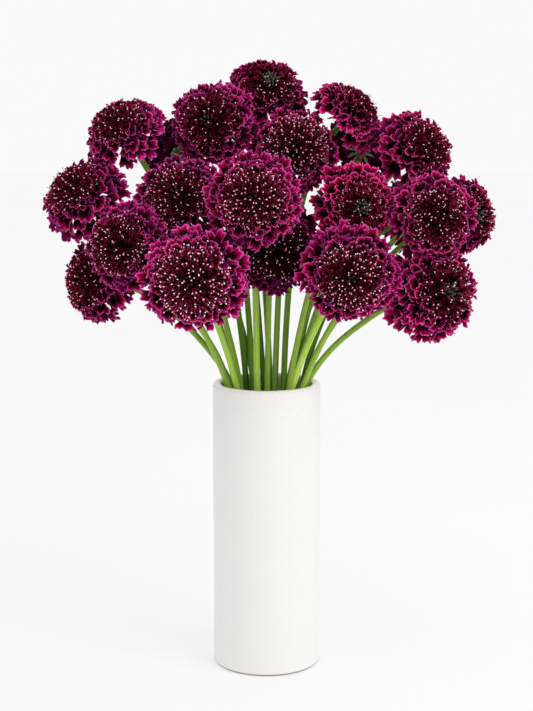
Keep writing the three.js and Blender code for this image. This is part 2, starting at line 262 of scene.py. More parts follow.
def petalLook(graph):
    along, across, under = graph.attributes("along", "across", "under")
    tone, warm, row = graph.attributes("tone", "warm", "row")
    place = graph.place()
    mottle, fine = graph.noise(place, 420, 4), graph.noise(place, 1500, 2)
    stripes = graph.maths("SINE", across * 15 + mottle * 4)
    veins = graph.smooth(stripes, 0.3, 1.0)
    body = graph.mix(warm, tint(220, 22, 146), tint(234, 14, 98))
    body = graph.mix(graph.smooth(along, 0.55, 1.0), tint(190, 6, 62), body)
    body = graph.mix(row, body, tint(184, 4, 58))
    # the rim's pale pink: partly the petal's own paler rim, partly a painted highlight of light caught on the
    # edges
    edge = graph.mix(warm, tint(244, 108, 204), tint(250, 92, 160))
    # painted shade in part: the face runs from near black at the throat to the bright body, which is the
    # flower's own dark throat deepened further as shade under the row above, and it reaches further out on
    # the upper rows
    lip = graph.smooth(along + (mottle - 0.5) * 0.16, 0.46 + row * 0.18, 1.0) ** 2.2
    face = graph.mix(lip, tint(6, 0, 1), body)
    face = graph.mix(graph.smooth(along, 0.9, 1.0), face, edge)
    back = graph.mix(graph.smooth(along, 0.1, 0.9), tint(76, 10, 46), tint(156, 32, 114))
    colour = graph.mix(under, face, back)
    colour = graph.mix(veins * 0.35, colour, tint(60, 2, 30))
    shade = graph.mix(tone, (1, 1, 1, 1), (0.26, 0.2, 0.3, 1))
    return {
        "Base Color": graph.mix(1.0, colour, shade, "MULTIPLY"),
        "Roughness": 0.42 + mottle * 0.2,
        "Normal": graph.bump(0.25, 0.0004, fine + veins * 0.4),
    }


def discLook(graph):
    along, tone = graph.attributes("along", "tone")
    mottle = graph.noise(graph.place(), 700, 3)
    dark = graph.mix(mottle, tint(10, 0, 2), tint(30, 1, 7))
    bright = graph.mix(tone, tint(74, 3, 20), tint(224, 56, 104))
    return {
        "Base Color": graph.mix(graph.smooth(along, 0.45, 1.0), dark, bright),
        "Roughness": 0.45 + mottle * 0.2,
    }


def pinLook(graph):
    along, tone = graph.attributes("along", "tone")
    stalk = graph.mix(tone, tint(108, 8, 32), tint(178, 46, 92))
    head = graph.mix(tone, tint(255, 176, 204), tint(255, 240, 252))
    return {
        "Base Color": graph.mix(graph.smooth(along, 0.8, 0.9), stalk, head),
        "Roughness": 0.4 + tone * 0.2,
    }


def budLook(graph):
    along, tone, fresh = graph.attributes("along", "tone", "fresh")
    ripe = graph.mix(along, tint(20, 2, 8), tint(70, 18, 30))
    green = graph.mix(along, tint(20, 22, 16), tint(84, 90, 74))
    return {
        "Base Color": graph.mix(tone * 0.35, graph.mix(fresh, ripe, green), tint(60, 20, 36)),
        "Roughness": 0.45 + tone * 0.2,
    }


def stemLook(graph):
    rib, along, tone = graph.attributes("rib", "along", "tone")
    stretched = graph.node("ShaderNodeVectorMath", {0: graph.place(), 1: (1, 1, 0.12)}, operation="MULTIPLY")
    streak = graph.noise(stretched, 900, 3)
    # painted light and shade: tone mixes a dark, shaded green with a light, lit green
    green = graph.mix(tone, tint(82, 132, 2), tint(168, 206, 68))
    # painted highlight: a pale green laid along the ribs and on the stems' edges, where the surface turns
    # away from the view
    pale = graph.mix(tone, tint(126, 170, 30), tint(236, 248, 158))
    green = graph.mix(graph.smooth(rib, 0.5, 1.0) * 0.35, green, pale)
    green = graph.mix(graph.smooth(streak, 0.5, 0.75) * 0.3, green, tint(74, 116, 6))
    side = graph.node("ShaderNodeLayerWeight", {"Blend": 0.5}).out("Facing")
    green = graph.mix(graph.smooth(side, 0.55, 0.9) * 0.8, green, pale)
    blush = graph.smooth(along, 0.9, 1.0) * tone
    return {
        "Base Color": graph.mix(blush * 0.5, green, tint(128, 104, 74)),
        "Roughness": 0.36 + streak * 0.2,
        "Normal": graph.bump(0.2, 0.0003, streak),
    }


def bractLook(graph):
    along, tone = graph.attributes("along", "tone")
    green = graph.mix(along, tint(146, 174, 104), tint(208, 218, 182))
    return {
        "Base Color": graph.mix(tone * 0.3, green, tint(120, 116, 90)),
        "Roughness": 0.5 + tone * 0.15,
    }


def ceramicLook(graph):
    lipLightFrom, lipLightTo = 0.2034, 0.2047
    bareFrom, bareTo = 0.0011, 0.0024
    place = graph.place()
    height = graph.node("ShaderNodeSeparateXYZ", {0: place}).out("Z")
    cloud, grain = graph.noise(place, 34, 4), graph.noise(place, 900, 4, 0.6)
    glaze = graph.mix(graph.smooth(cloud, 0.3, 0.75), tint(232, 229, 226), tint(230, 227, 224))
    glaze = graph.mix(graph.smooth(grain, 0.44, 0.6) * 0.45, glaze, tint(225, 222, 218))
    # painted highlight: the lip is painted near white as a crisp light line along the rim, and it also gets a
    # gloss coat
    lip = graph.smooth(height, lipLightFrom, lipLightTo)
    glaze = graph.mix(lip, glaze, tint(255, 254, 252))
    speck = graph.smooth(graph.noise(place, 620, 1), 0.74, 0.8)
    glaze = graph.mix(speck * 0.22, glaze, tint(206, 200, 190))
    bare = 1 - graph.smooth(height + grain * 0.0006, bareFrom, bareTo)
    return {
        "Base Color": graph.mix(bare * 0.9, glaze, tint(116, 94, 76)),
        "Roughness": 0.56 + cloud * 0.08 + bare * 0.2,
        "Coat Weight": lip,
        "Normal": graph.bump(0.12, 0.0005, grain + cloud * 2),
    }


def waterLook(graph):
    ripple = graph.noise(graph.place(), 60, 2)
    return {
        "Base Color": graph.mix(ripple, tint(214, 228, 222), tint(228, 236, 230)),
        "Normal": graph.bump(0.1, 0.001, ripple),
    }


finishes = {
    "petal": newFinish("petal", "bloom", {"Specular IOR Level": 0.0}, petalLook),
    "disc": newFinish("disc", "bloom", {"Specular IOR Level": 0.03}, discLook),
    "pin": newFinish("pin", "bloom", {}, pinLook),
    "bud": newFinish("bud", "bloom", {"Specular IOR Level": 0.1}, budLook),
    "stem": newFinish("stem", "stem", {"Specular IOR Level": 0.3}, stemLook),
    "bract": newFinish("bract", "stem", {}, bractLook),
    "ceramic": newFinish("ceramic", "vase", {}, ceramicLook),
    "water": newFinish("water", "water", {
        "Roughness": 0.03, "Transmission Weight": 0.85, "IOR": 1.333,
    }, waterLook),
}
print("finishes made")


# Vase and water

# Lengths in millimetres; the recess under the foot ends between two parts of the radius
vase = {
    "radius": 38, "height": 205, "wall": 6, "floor": 7, "innerCorner": 5, "footRound": 2.2,
    "lipRound": 2.6, "recess": 0.6, "recessEnd": (0.7, 0.74), "sides": 128, "rings": 26,
    "innerRings": 12, "arcSteps": 6,
}


def skinRings(rings, sides):  # faces between neighbouring rings, where a ring of one point is a pole
    faces = []
    for one, two in zip(rings, rings[1:]):
        for k in range(sides):
            near = (one[k % len(one)], one[(k + 1) % len(one)])
            corners = (*near, two[(k + 1) % len(two)], two[k % len(two)])
            faces.append([v for n, v in enumerate(corners) if v not in corners[:n]])
    return faces


def arc(middle, size, start, end):
    steps = vase["arcSteps"]
    turns = [math.radians(start + (end - start) * k / steps) for k in range(steps + 1)]
    return [(middle[0] + size * math.cos(a), middle[1] + size * math.sin(a)) for a in turns]


def vaseMesh():
    radius, top, wall = vase["radius"], vase["height"], vase["wall"]
    foot, lip, corner = vase["footRound"], vase["lipRound"], vase["innerCorner"]
    inside, low, recess = radius - wall, vase["floor"], vase["recess"]
    outer, inner = vase["rings"], vase["innerRings"]
    profile = [(0, recess), (radius * vase["recessEnd"][0], recess), (radius * vase["recessEnd"][1], 0)]
    profile += arc((radius - foot, foot), foot, -90, 0)
    profile += [(radius, foot + (top - lip - foot) * k / outer) for k in range(1, outer)]
    profile += arc((radius - lip, top - lip), lip, 0, 90)
    profile += arc((inside + lip, top - lip), lip, 90, 180)
    profile += [(inside, top - lip + (low + corner + lip - top) * k / inner) for k in range(1, inner)]
    profile += arc((inside - corner, low + corner), corner, 0, -90)
    profile.append((0, low))
    points, rings, sides = [], [], vase["sides"]
    for out, z in profile:
        count = 1 if out == 0 else sides
        turns = [2 * math.pi * k / sides for k in range(count)]
        rings.append(list(range(len(points), len(points) + count)))
        points += [(out * math.cos(a) * mm, out * math.sin(a) * mm, z * mm) for a in turns]
    return newMesh("vase", points, skinRings(rings, sides))


vasePiece = newPiece("vase_turned", vaseMesh(), "vase")
vasePiece.data.materials.append(finishes["ceramic"])
frame["nodes"]["water"].material_slots[0].material = finishes["water"]
print("vase turned")


# Stems

# Lengths in millimetres; the bracts' are in parts of the head's radius; shadeDepth is how far back the stems'
# painted shade goes from light to dark
stem = {
    "radius": 2.35, "sides": 16, "ribDepth": 0.05, "step": 6, "neckThin": 0.86, "flareFrom": 6,
    "flare": 1.9, "packedSides": 5, "weld": 0.02, "neckPast": 0.3, "bracts": 9, "bractLength": 0.3,
    "bractRing": 0.11, "bractHeight": -0.05, "shadeDepth": 44, "toneSpread": 0.15,
}


def packedRings(name):  # the rings of a packed stem, from the foot to the neck
    packed = bmesh.new()
    packed.from_mesh(frame["nodes"][name].data)
    bmesh.ops.remove_doubles(packed, verts=packed.verts, dist=stem["weld"] * mm)
    ring = sorted(packed.verts, key=lambda v: v.co.z)[:stem["packedSides"]]
    middles, seen = [], set()
    while ring:
        middles.append(sum((v.co for v in ring), Vector()) / len(ring))
        seen.update(v.index for v in ring)
        beside = {e.other_vert(v).index: e.other_vert(v) for v in ring for e in v.link_edges}
        ring = [beside[k] for k in sorted(beside) if k not in seen]
    packed.free()
    return middles


def smoothRoute(middles):  # an even, smooth line through the rings' middles
    chords = [(b - a).length for a, b in zip(middles, middles[1:])]
    slopes = [(middles[1] - middles[0]) / chords[0]]
    for k in range(1, len(middles) - 1):
        before = (middles[k] - middles[k - 1]) / chords[k - 1]
        after = (middles[k + 1] - middles[k]) / chords[k]
        slopes.append((before * chords[k] + after * chords[k - 1]) / (chords[k - 1] + chords[k]))
    slopes.append((middles[-1] - middles[-2]) / chords[-1])
    points = []
    for k, chord in enumerate(chords):
        steps = max(2, round(chord / (stem["step"] * mm)))
        for n in range(steps):
            t = n / steps
            a, b = (2 * t ** 3 - 3 * t ** 2 + 1), (3 * t ** 2 - 2 * t ** 3)
            c, d = (t ** 3 - 2 * t ** 2 + t) * chord, (t ** 3 - t ** 2) * chord
            points.append(middles[k] * a + middles[k + 1] * b + slopes[k] * c + slopes[k + 1] * d)
    return points + [middles[-1]]


def routeMesh(points):
    mesh = bpy.data.meshes.new("route")
    mesh.from_pydata([tuple(p) for p in points], [[k, k + 1] for k in range(len(points) - 1)], [])
    lengths = [0.0]
    for a, b in zip(points, points[1:]):
        lengths.append(lengths[-1] + (b - a).length)
    full = lengths[-1]
    thick = []
    for length in lengths:
        thin = 1 + (stem["neckThin"] - 1) * length / full
        flare = max(0.0, 1 - (full - length) / (stem["flareFrom"] * mm))
        thick.append(thin + (stem["flare"] - thin) * flare ** 2)
    mesh.attributes.new("thick", "FLOAT", "POINT").data.foreach_set("value", thick)
    mesh.attributes.new("along", "FLOAT", "POINT").data.foreach_set("value", [n / full for n in lengths])
    return mesh


bract = {
    "rows": 6, "foot": 0.16, "half": 0.055, "tip": 0.002, "bend": 0.12, "edge": 0.012,
    "keel": (-0.008, -0.026), "length": 0.9, "kinds": 3, "seed": 120,
}


def bractMesh(name, random, shape):  # a narrow pointed leaf, keeled along its middle
    rows, points, along = shape["rows"], [], []
    above, below = shape["keel"]
    for k in range(rows + 1):
        t = k / rows
        belly = math.sin(math.pi * min(1, shape["foot"] + (1 - shape["foot"]) * t)) ** 0.8
        half = shape["half"] * belly + shape["tip"]
        bend = -shape["bend"] * t * t + random.uniform(-0.006, 0.006)
        for x, z in ((-half, shape["edge"]), (0, above), (half, shape["edge"]), (0, below)):
            points.append((x, t * shape["length"], bend + z))
            along.append(t)
    faces = []
    for k in range(rows):
        for n in range(4):
            a, b = 4 * k + n, 4 * k + (n + 1) % 4
            faces.append([a, b, b + 4, a + 4])
    faces.append([0, 3, 2, 1])
    faces.append([4 * rows + n for n in range(4)])
    return newMesh(name, points, faces, along=along)


def stemTree():
    kinds = dict(Radius="Float", Sides="Int", Tone="Float", Bracts="Collection", BractCount="Int")
    kinds |= dict(BractLength="Float", HeadRadius="Float", Neck="Vector", Turn="Vector", Seed="Int")
    graph, given = newTree("cutStem", **kinds)
    route = graph.node("GeometryNodeMeshToCurve", {0: given.out("Geometry")})
    circle = graph.node("GeometryNodeCurvePrimitiveCircle", {"Resolution": given.out("Sides")})
    size = given.out("Radius")
    size = graph.vector(size, size, size)
    circle = graph.node("GeometryNodeTransform", {"Geometry": circle, "Scale": size})
    index = graph.node("GeometryNodeInputIndex")
    rib = graph.maths("MODULO", index, 2)
    inwards = graph.node("ShaderNodeVectorMath", {
        0: graph.node("GeometryNodeInputPosition"),
        3: (rib - 1) * stem["ribDepth"],
    }, operation="SCALE")
    section = graph.node("GeometryNodeSetPosition", {"Geometry": circle, "Offset": inwards})
    section = graph.store(section, "rib", rib)
    tube = graph.node("GeometryNodeCurveToMesh", {
        "Curve": route, "Profile Curve": section, "Fill Caps": True,
        "Scale": graph.node("GeometryNodeInputNamedAttribute", {"Name": "thick"}),
    })
    tube = graph.store(tube, "tone", given.out("Tone"))

    # bracts: a ring of them under the head
    count, seed = given.out("BractCount"), given.out("Seed")
    turn = index / count * (2 * math.pi) + graph.spread(0.16, seed)
    points = graph.node("GeometryNodeSetPosition", {
        "Geometry": graph.node("GeometryNodePoints", {"Count": count}),
        "Position": graph.around(turn, stem["bractRing"], stem["bractHeight"]),
    })
    points = graph.store(points, "tone", graph.random(0, 1, seed + 3))
    long = given.out("BractLength") * graph.random(0.8, 1.2, seed + 4)
    tilt = graph.vector(graph.random(-0.35, 0.2, seed + 5), 0.0, turn - math.pi / 2)
    leaves = graph.node("GeometryNodeInstanceOnPoints", {
        "Points": points, "Instance": graph.shapes(given.out("Bracts")), "Pick Instance": True,
        "Rotation": graph.turned(tilt), "Scale": graph.vector(1.0, long, 1.0),
    })
    size = given.out("HeadRadius")
    leaves = graph.node("GeometryNodeTransform", {
        "Geometry": leaves, "Translation": given.out("Neck"), "Scale": graph.vector(size, size, size),
        "Rotation": graph.turned(given.out("Turn")),
    })
    return endTree(graph, [
        finishBranch(graph, tube, finishes["stem"]),
        finishBranch(graph, leaves, finishes["bract"]),
    ])


# Blooms

# What differs from head to head: the radius in millimetres, the disc's width beside the widest one, the tone
# from bright to dusky, which on head 16 is painted shade, the hue from purple to red, the pins' number, and
# how green the unopened middle is
heads = [
    {"radius": 30.0, "disc": 0.88, "tone": 0.55, "warm": 0.6, "pins": 40, "fresh": 0.8},
    {"radius": 28.5, "disc": 0.9, "tone": 0.35, "warm": 0.7, "pins": 70, "fresh": 0.1},
    {"radius": 29.0, "disc": 0.95, "tone": 0.3, "warm": 0.3, "pins": 70, "fresh": 0.1},
    {"radius": 30.0, "disc": 0.96, "tone": 0.45, "warm": 0.3, "pins": 60, "fresh": 0.4},
    {"radius": 30.5, "disc": 1.0, "tone": 0.45, "warm": 0.5, "pins": 175, "fresh": 0.0},
    {"radius": 29.5, "disc": 0.9, "tone": 0.35, "warm": 0.7, "pins": 70, "fresh": 0.1},
    {"radius": 31.0, "disc": 0.95, "tone": 0.3, "warm": 0.3, "pins": 90, "fresh": 0.1},
    {"radius": 31.5, "disc": 0.94, "tone": 0.4, "warm": 0.0, "pins": 120, "fresh": 0.1},
    {"radius": 31.5, "disc": 0.88, "tone": 0.3, "warm": 0.4, "pins": 140, "fresh": 0.1},
    {"radius": 27.5, "disc": 0.84, "tone": 0.0, "warm": 0.9, "pins": 70, "fresh": 0.9},
    {"radius": 29.5, "disc": 0.96, "tone": 0.35, "warm": 0.4, "pins": 110, "fresh": 0.1},
    {"radius": 27.5, "disc": 0.92, "tone": 0.6, "warm": 0.5, "pins": 60, "fresh": 0.8},
    {"radius": 29.5, "disc": 0.96, "tone": 0.42, "warm": 0.2, "pins": 110, "fresh": 0.1},
    {"radius": 30.0, "disc": 1.0, "tone": 0.4, "warm": 0.3, "pins": 90, "fresh": 0.1},
    {"radius": 35.0, "disc": 0.98, "tone": 0.1, "warm": 0.3, "pins": 180, "fresh": 0.1},
    # head 16 lies in shadow behind its neighbours: its tone past 1 is painted shade
    {"radius": 32.0, "disc": 0.96, "tone": 1.3, "warm": 0.3, "pins": 120, "fresh": 0.1},
    {"radius": 32.0, "disc": 0.95, "tone": 0.4, "warm": 0.4, "pins": 160, "fresh": 0.2},
    {"radius": 34.0, "disc": 0.86, "tone": 0.3, "warm": 0.5, "pins": 75, "fresh": 0.7},
    {"radius": 27.0, "disc": 0.95, "tone": 0.6, "warm": 0.1, "pins": 70, "fresh": 0.2},
    {"radius": 26.0, "disc": 0.95, "tone": 0.6, "warm": 0.0, "pins": 70, "fresh": 0.2},
    {"radius": 28.0, "disc": 0.95, "tone": 0.3, "warm": 0.4, "pins": 90, "fresh": 0.2},
    {"radius": 27.0, "disc": 0.92, "tone": 0.3, "warm": 0.3, "pins": 90, "fresh": 0.5},
    {"radius": 27.0, "disc": 0.98, "tone": 0.3, "warm": 0.5, "pins": 90, "fresh": 0.1},
    {"radius": 26.5, "disc": 0.94, "tone": 0.35, "warm": 0.4, "pins": 90, "fresh": 0.2},
]

# Lengths in parts of the head's radius, angles in degrees. Rays round a narrow disc grow longer.
bloom = {
    "rays": 74, "cupsFrom": 0.55, "rayRise": (-9, 60), "rayRoot": (0.385, 0.37), "rayHeight": (0.13, 0.28),
    "raySize": (1.12, 0.68), "raySizes": (0.82, 1.14), "rayLonger": 0.55, "droop": 0.5,
    "discFlorets": 210, "floretSizes": (0.82, 1.18), "floretLengths": (0.8, 1.4), "domeWide": 0.395,
    "domeHeight": 0.17, "domeMiddle": 0.335, "domeTo": 78, "buds": 26, "fewestBuds": 2, "budSize": 0.75,
    "pinOut": 0.2, "pinLengths": (1.0, 1.3), "rootDepth": -0.05, "seed": 11,
}

# Each lobe: the middle of its arc and half its arc in degrees, its length beside the shape's own, how far it
# flares out, and how many columns of points it has
rayShape = {
    "tube": 0.36, "mouth": 0.085, "thick": 0.012, "length": 0.27, "rows": (0.5, 0.86), "cleft": 0.72,
    "pinch": 0.01, "ruffle": 0.03, "kinds": 5, "seed": 40,
    "lobes": [(-133, 45, 0.26, 6, 4), (-57, 30, 0.95, 30, 9), (0, 28, 1.12, 28, 10), (57, 30, 0.95, 30, 9),
              (133, 45, 0.26, 6, 4)],
}
cupShape = rayShape | {
    "length": 0.24, "rows": (0.6,), "ruffle": 0.026, "seed": 60,
    "lobes": [(-138, 40, 0.36, 8, 4), (-64, 34, 0.92, 28, 8), (0, 30, 1.02, 28, 8), (64, 34, 0.92, 28, 8),
              (138, 40, 0.36, 8, 4)],
}


def rayMesh(name, random, shape):  # a funnel with five ruffled lobes, whose two skins meet in a thin rim
    tube, mouth, thick = shape["tube"], shape["mouth"], shape["thick"]
    columns = []
    for middle, half, size, flare, count in shape["lobes"]:
        length = shape["length"] * size * random.uniform(0.88, 1.12)
        flare = math.radians(flare + random.uniform(-9, 9))
        phase = random.uniform(0, 6.3, 2)
        for t in np.sin(np.linspace(-math.pi / 2, math.pi / 2, count)):
            rounded = (1 - abs(t) ** 3) ** 0.5
            reach = length * (shape["cleft"] + (1 - shape["cleft"]) * rounded)
            reach *= 1 + 0.08 * math.sin(6 * t + phase[0]) + random.uniform(-0.02, 0.02)
            columns.append((math.radians(middle + half * t * 0.97), t, reach, flare, phase[1]))

    def place(column, share):  # a point of the inner skin, and the way its face looks
        turn, t, reach, flare, phase = column
        out, ahead = Vector((math.sin(turn), 0, -math.cos(turn))), Vector((0, 1, 0))
        lean = flare * (0.5 + 0.7 * share)
        point = out * (mouth + math.sin(lean) * reach * share - shape["pinch"] * abs(t) ** 3 * share)
        point += ahead * (tube + math.cos(lean) * reach * share)
        face = ahead * math.sin(lean) - out * math.cos(lean)
        return point + face * shape["ruffle"] * share ** 2 * math.sin(5 * t + phase), face

    count = len(columns)
    pairs = [tuple((a + b) / 2 for a, b in zip(columns[k], columns[k + 1])) for k in range(0, count, 2)]
    rings = [[place(pair, 0) for pair in pairs]]
    rings += [[place(column, share) for column in columns] for share in shape["rows"]]
    rim = [place(column, 1)[0] for column in columns]
    points, along, across, under, skins = [], [], [], [], []
    for skin in (0, 1):
        numbers = []
        points.append(Vector((0, tube * 0.5 * (1 - skin), 0)))
        along.append(0.0)
        across.append(0.0)
        under.append(float(skin))
        numbers.append([len(points) - 1])
        for share, ring in zip((0, *shape["rows"]), rings):
            numbers.append(list(range(len(points), len(points) + len(ring))))
            points += [point - face * thick * skin * (1 - share * 0.7) for point, face in ring]
            along += [0.36 + 0.64 * share] * len(ring)
            across += [c[1] for c in (columns if len(ring) == count else pairs)]
            under += [float(skin)] * len(ring)
        skins.append(numbers)
    edge = list(range(len(points), len(points) + count))
    points += rim
    along += [1.0] * count
    across += [c[1] for c in columns]
    under += [0.0] * count
    faces = []
    for skin, numbers in enumerate(skins):
        made, numbers = [], numbers + [edge]
        small = len(numbers[1])
        made += [[numbers[0][0], numbers[1][(k + 1) % small], numbers[1][k]] for k in range(small)]
        for k in range(small):
            one, two = numbers[1], numbers[2]
            a, b, after = two[2 * k], two[2 * k + 1], two[(2 * k + 2) % count]
            made += [[one[k], b, a], [one[k], one[(k + 1) % small], after, b]]
        for one, two in zip(numbers[2:], numbers[3:]):
            made += [[one[k], one[(k + 1) % count], two[(k + 1) % count], two[k]] for k in range(count)]
        faces += made if skin == 0 else [face[::-1] for face in made]
    mesh = newMesh(name, points, faces, along=along, across=across, under=under)
    keen = {frozenset((edge[k], edge[(k + 1) % count])) for k in range(count)}
    sharp = [frozenset(e.vertices) in keen for e in mesh.edges]
    mesh.attributes.new("sharp_edge", "BOOLEAN", "EDGE").data.foreach_set("value", sharp)
    return mesh


floret = {
    "throat": 0.026, "throatAt": 0.15, "mouth": (0.042, 0.07), "mouthAt": 0.225, "bottomAt": 0.12,
    "kinds": 4, "seed": 80,
}


def discMesh(name, random, shape):  # a small trumpet with a ruffled mouth, hollow down to its throat
    throat = shape["throat"]
    points, along = [(0, 0, bloom["rootDepth"])], [0]
    for k in range(4):
        a = math.pi * (k + 0.25) / 2
        points.append((throat * math.cos(a), throat * math.sin(a), shape["throatAt"]))
        along.append(0.4)
    for k in range(8):
        a = math.pi * k / 4 + random.uniform(-0.14, 0.14)
        out = shape["mouth"][k % 2] * random.uniform(0.88, 1.14)
        z = shape["mouthAt"] + random.uniform(-0.015, 0.02)
        points.append((out * math.cos(a), out * math.sin(a), z))
        along.append(1.0)
    points.append((0, 0, shape["bottomAt"]))
    along.append(0.0)
    bottom = len(points) - 1
    faces = []
    for k in range(4):
        a, b = 1 + k, 1 + (k + 1) % 4
        c, d, e = 5 + 2 * k, 6 + 2 * k, 5 + (2 * k + 2) % 8
        faces += [[0, b, a], [a, d, c], [a, b, e, d], [c, d, bottom], [d, e, bottom]]
    return newMesh(name, points, faces, along=along)


# The bud's outline as pairs of a radius and a height
bud = {
    "sides": 6, "outline": ((0.02, 0.02), (0.04, 0.13), (0.052, 0.19), (0.034, 0.235)), "top": 0.245,
    "kinds": 3, "seed": 90,
}


def budMesh(name, random, shape):  # a small round bud on a short stalk
    sides = shape["sides"]
    points, along = [(0, 0, bloom["rootDepth"])], [0]
    for out, z in shape["outline"]:
        for k in range(sides):
            a = 2 * math.pi * k / sides
            wide = out * random.uniform(0.9, 1.1)
            points.append((wide * math.cos(a), wide * math.sin(a), z))
            along.append(z / 0.25)
    points.append((0, 0, shape["top"]))
    along.append(1)
    faces, last = [], len(points) - 1
    for k in range(sides):
        n = (k + 1) % sides
        faces.append([0, 1 + n, 1 + k])
        for ring in range(len(shape["outline"]) - 1):
            a, b = 1 + sides * ring + k, 1 + sides * ring + n
            faces.append([a, b, b + sides, a + sides])
        faces.append([last - sides + k, last - sides + n, last])
    return newMesh(name, points, faces, along=along)


pin = {
    "thread": 0.0075, "length": 0.32, "bends": (0, 0.55, 1), "head": 0.0205, "headWide": 0.62,
    "headAt": 0.275, "kinds": 6, "seed": 100,
}


def pinMesh(name, random, shape):  # a fine bent thread with a pale oval head across its end
    lean = random.uniform(-0.06, 0.06, 2)
    points, along, faces = [], [], []
    for share in shape["bends"]:
        middle = lean * share * share
        for k in range(3):
            a = 2 * math.pi * k / 3
            x = middle[0] + shape["thread"] * math.cos(a)
            y = middle[1] + shape["thread"] * math.sin(a)
            points.append((x, y, shape["length"] * share + bloom["rootDepth"]))
            along.append(share * 0.78)
    for ring in range(2):
        for k in range(3):
            a, b = 3 * ring + k, 3 * ring + (k + 1) % 3
            faces.append([a, b, b + 3, a + 3])
    faces += [[2, 1, 0], [6, 7, 8]]
    first = len(points)
    tilt = Matrix.Rotation(random.uniform(-1.2, 1.2), 3, "X")
    tilt = tilt @ Matrix.Rotation(random.uniform(-1.2, 1.2), 3, "Y")
    middle = Vector((lean[0], lean[1], shape["headAt"]))
    wide = shape["headWide"]
    turns = [math.pi * k / 2 for k in range(4)]
    oval = [(0, 0, -1.0)]
    oval += [(math.cos(a) * wide, math.sin(a) * wide, z) for z in (-0.4, 0.4) for a in turns]
    oval.append((0, 0, 1.0))
    for p in oval:
        points.append(middle + tilt @ (Vector(p) * shape["head"]))
        along.append(1)
    for k in range(4):
        n = (k + 1) % 4
        faces += [[first, first + 1 + n, first + 1 + k],
                  [first + 1 + k, first + 1 + n, first + 5 + n, first + 5 + k],
                  [first + 5 + k, first + 5 + n, first + 9]]
    return newMesh(name, points, faces, along=along)


# The underside's outline as pairs of a radius and a height, and how far its flutes stand out and hang down
core = {
    "sides": 40, "under": [(0, -0.02), (0.12, -0.01), (0.3, 0.03), (0.46, 0.08), (0.6, 0.16), (0.48, 0.26)],
    "dome": 0.88, "flute": (0.02, 0.05), "underTo": 0.2, "tone": 0.6,
}


def coreMesh():  # the dark receptacle that the florets grow from, fluted and veined like a petal's back below
    wide, high = bloom["domeWide"] * core["dome"], bloom["domeHeight"] * core["dome"]
    middle = bloom["domeMiddle"]
    turns = [math.pi * k / 10 for k in range(5)]
    profile = core["under"] + [(wide * math.cos(a), middle + high * math.sin(a)) for a in turns]
    profile.append((0, middle + high))
    points, rings, sides = [], [], core["sides"]
    along, across, under = [], [], []
    for out, z in profile:
        below = 1.0 if z < core["underTo"] else 0.0
        count = sides if out else 1
        rings.append(list(range(len(points), len(points) + count)))
        for k in range(count):
            turn = 2 * math.pi * k / sides
            ridge = k % 2 * below * out
            far = out + core["flute"][0] * ridge
            points.append((far * math.cos(turn), far * math.sin(turn), z - core["flute"][1] * ridge))
            along.append(below * out)
            across.append(0.105 * (k % 2))
            under.append(below)
    tone = [core["tone"]] * len(points)
    faces = skinRings(rings, sides)
    return newMesh("core", points, faces, along=along, across=across, under=under, tone=tone)


def between(pair, share):
    return share * (pair[1] - pair[0]) + pair[0]


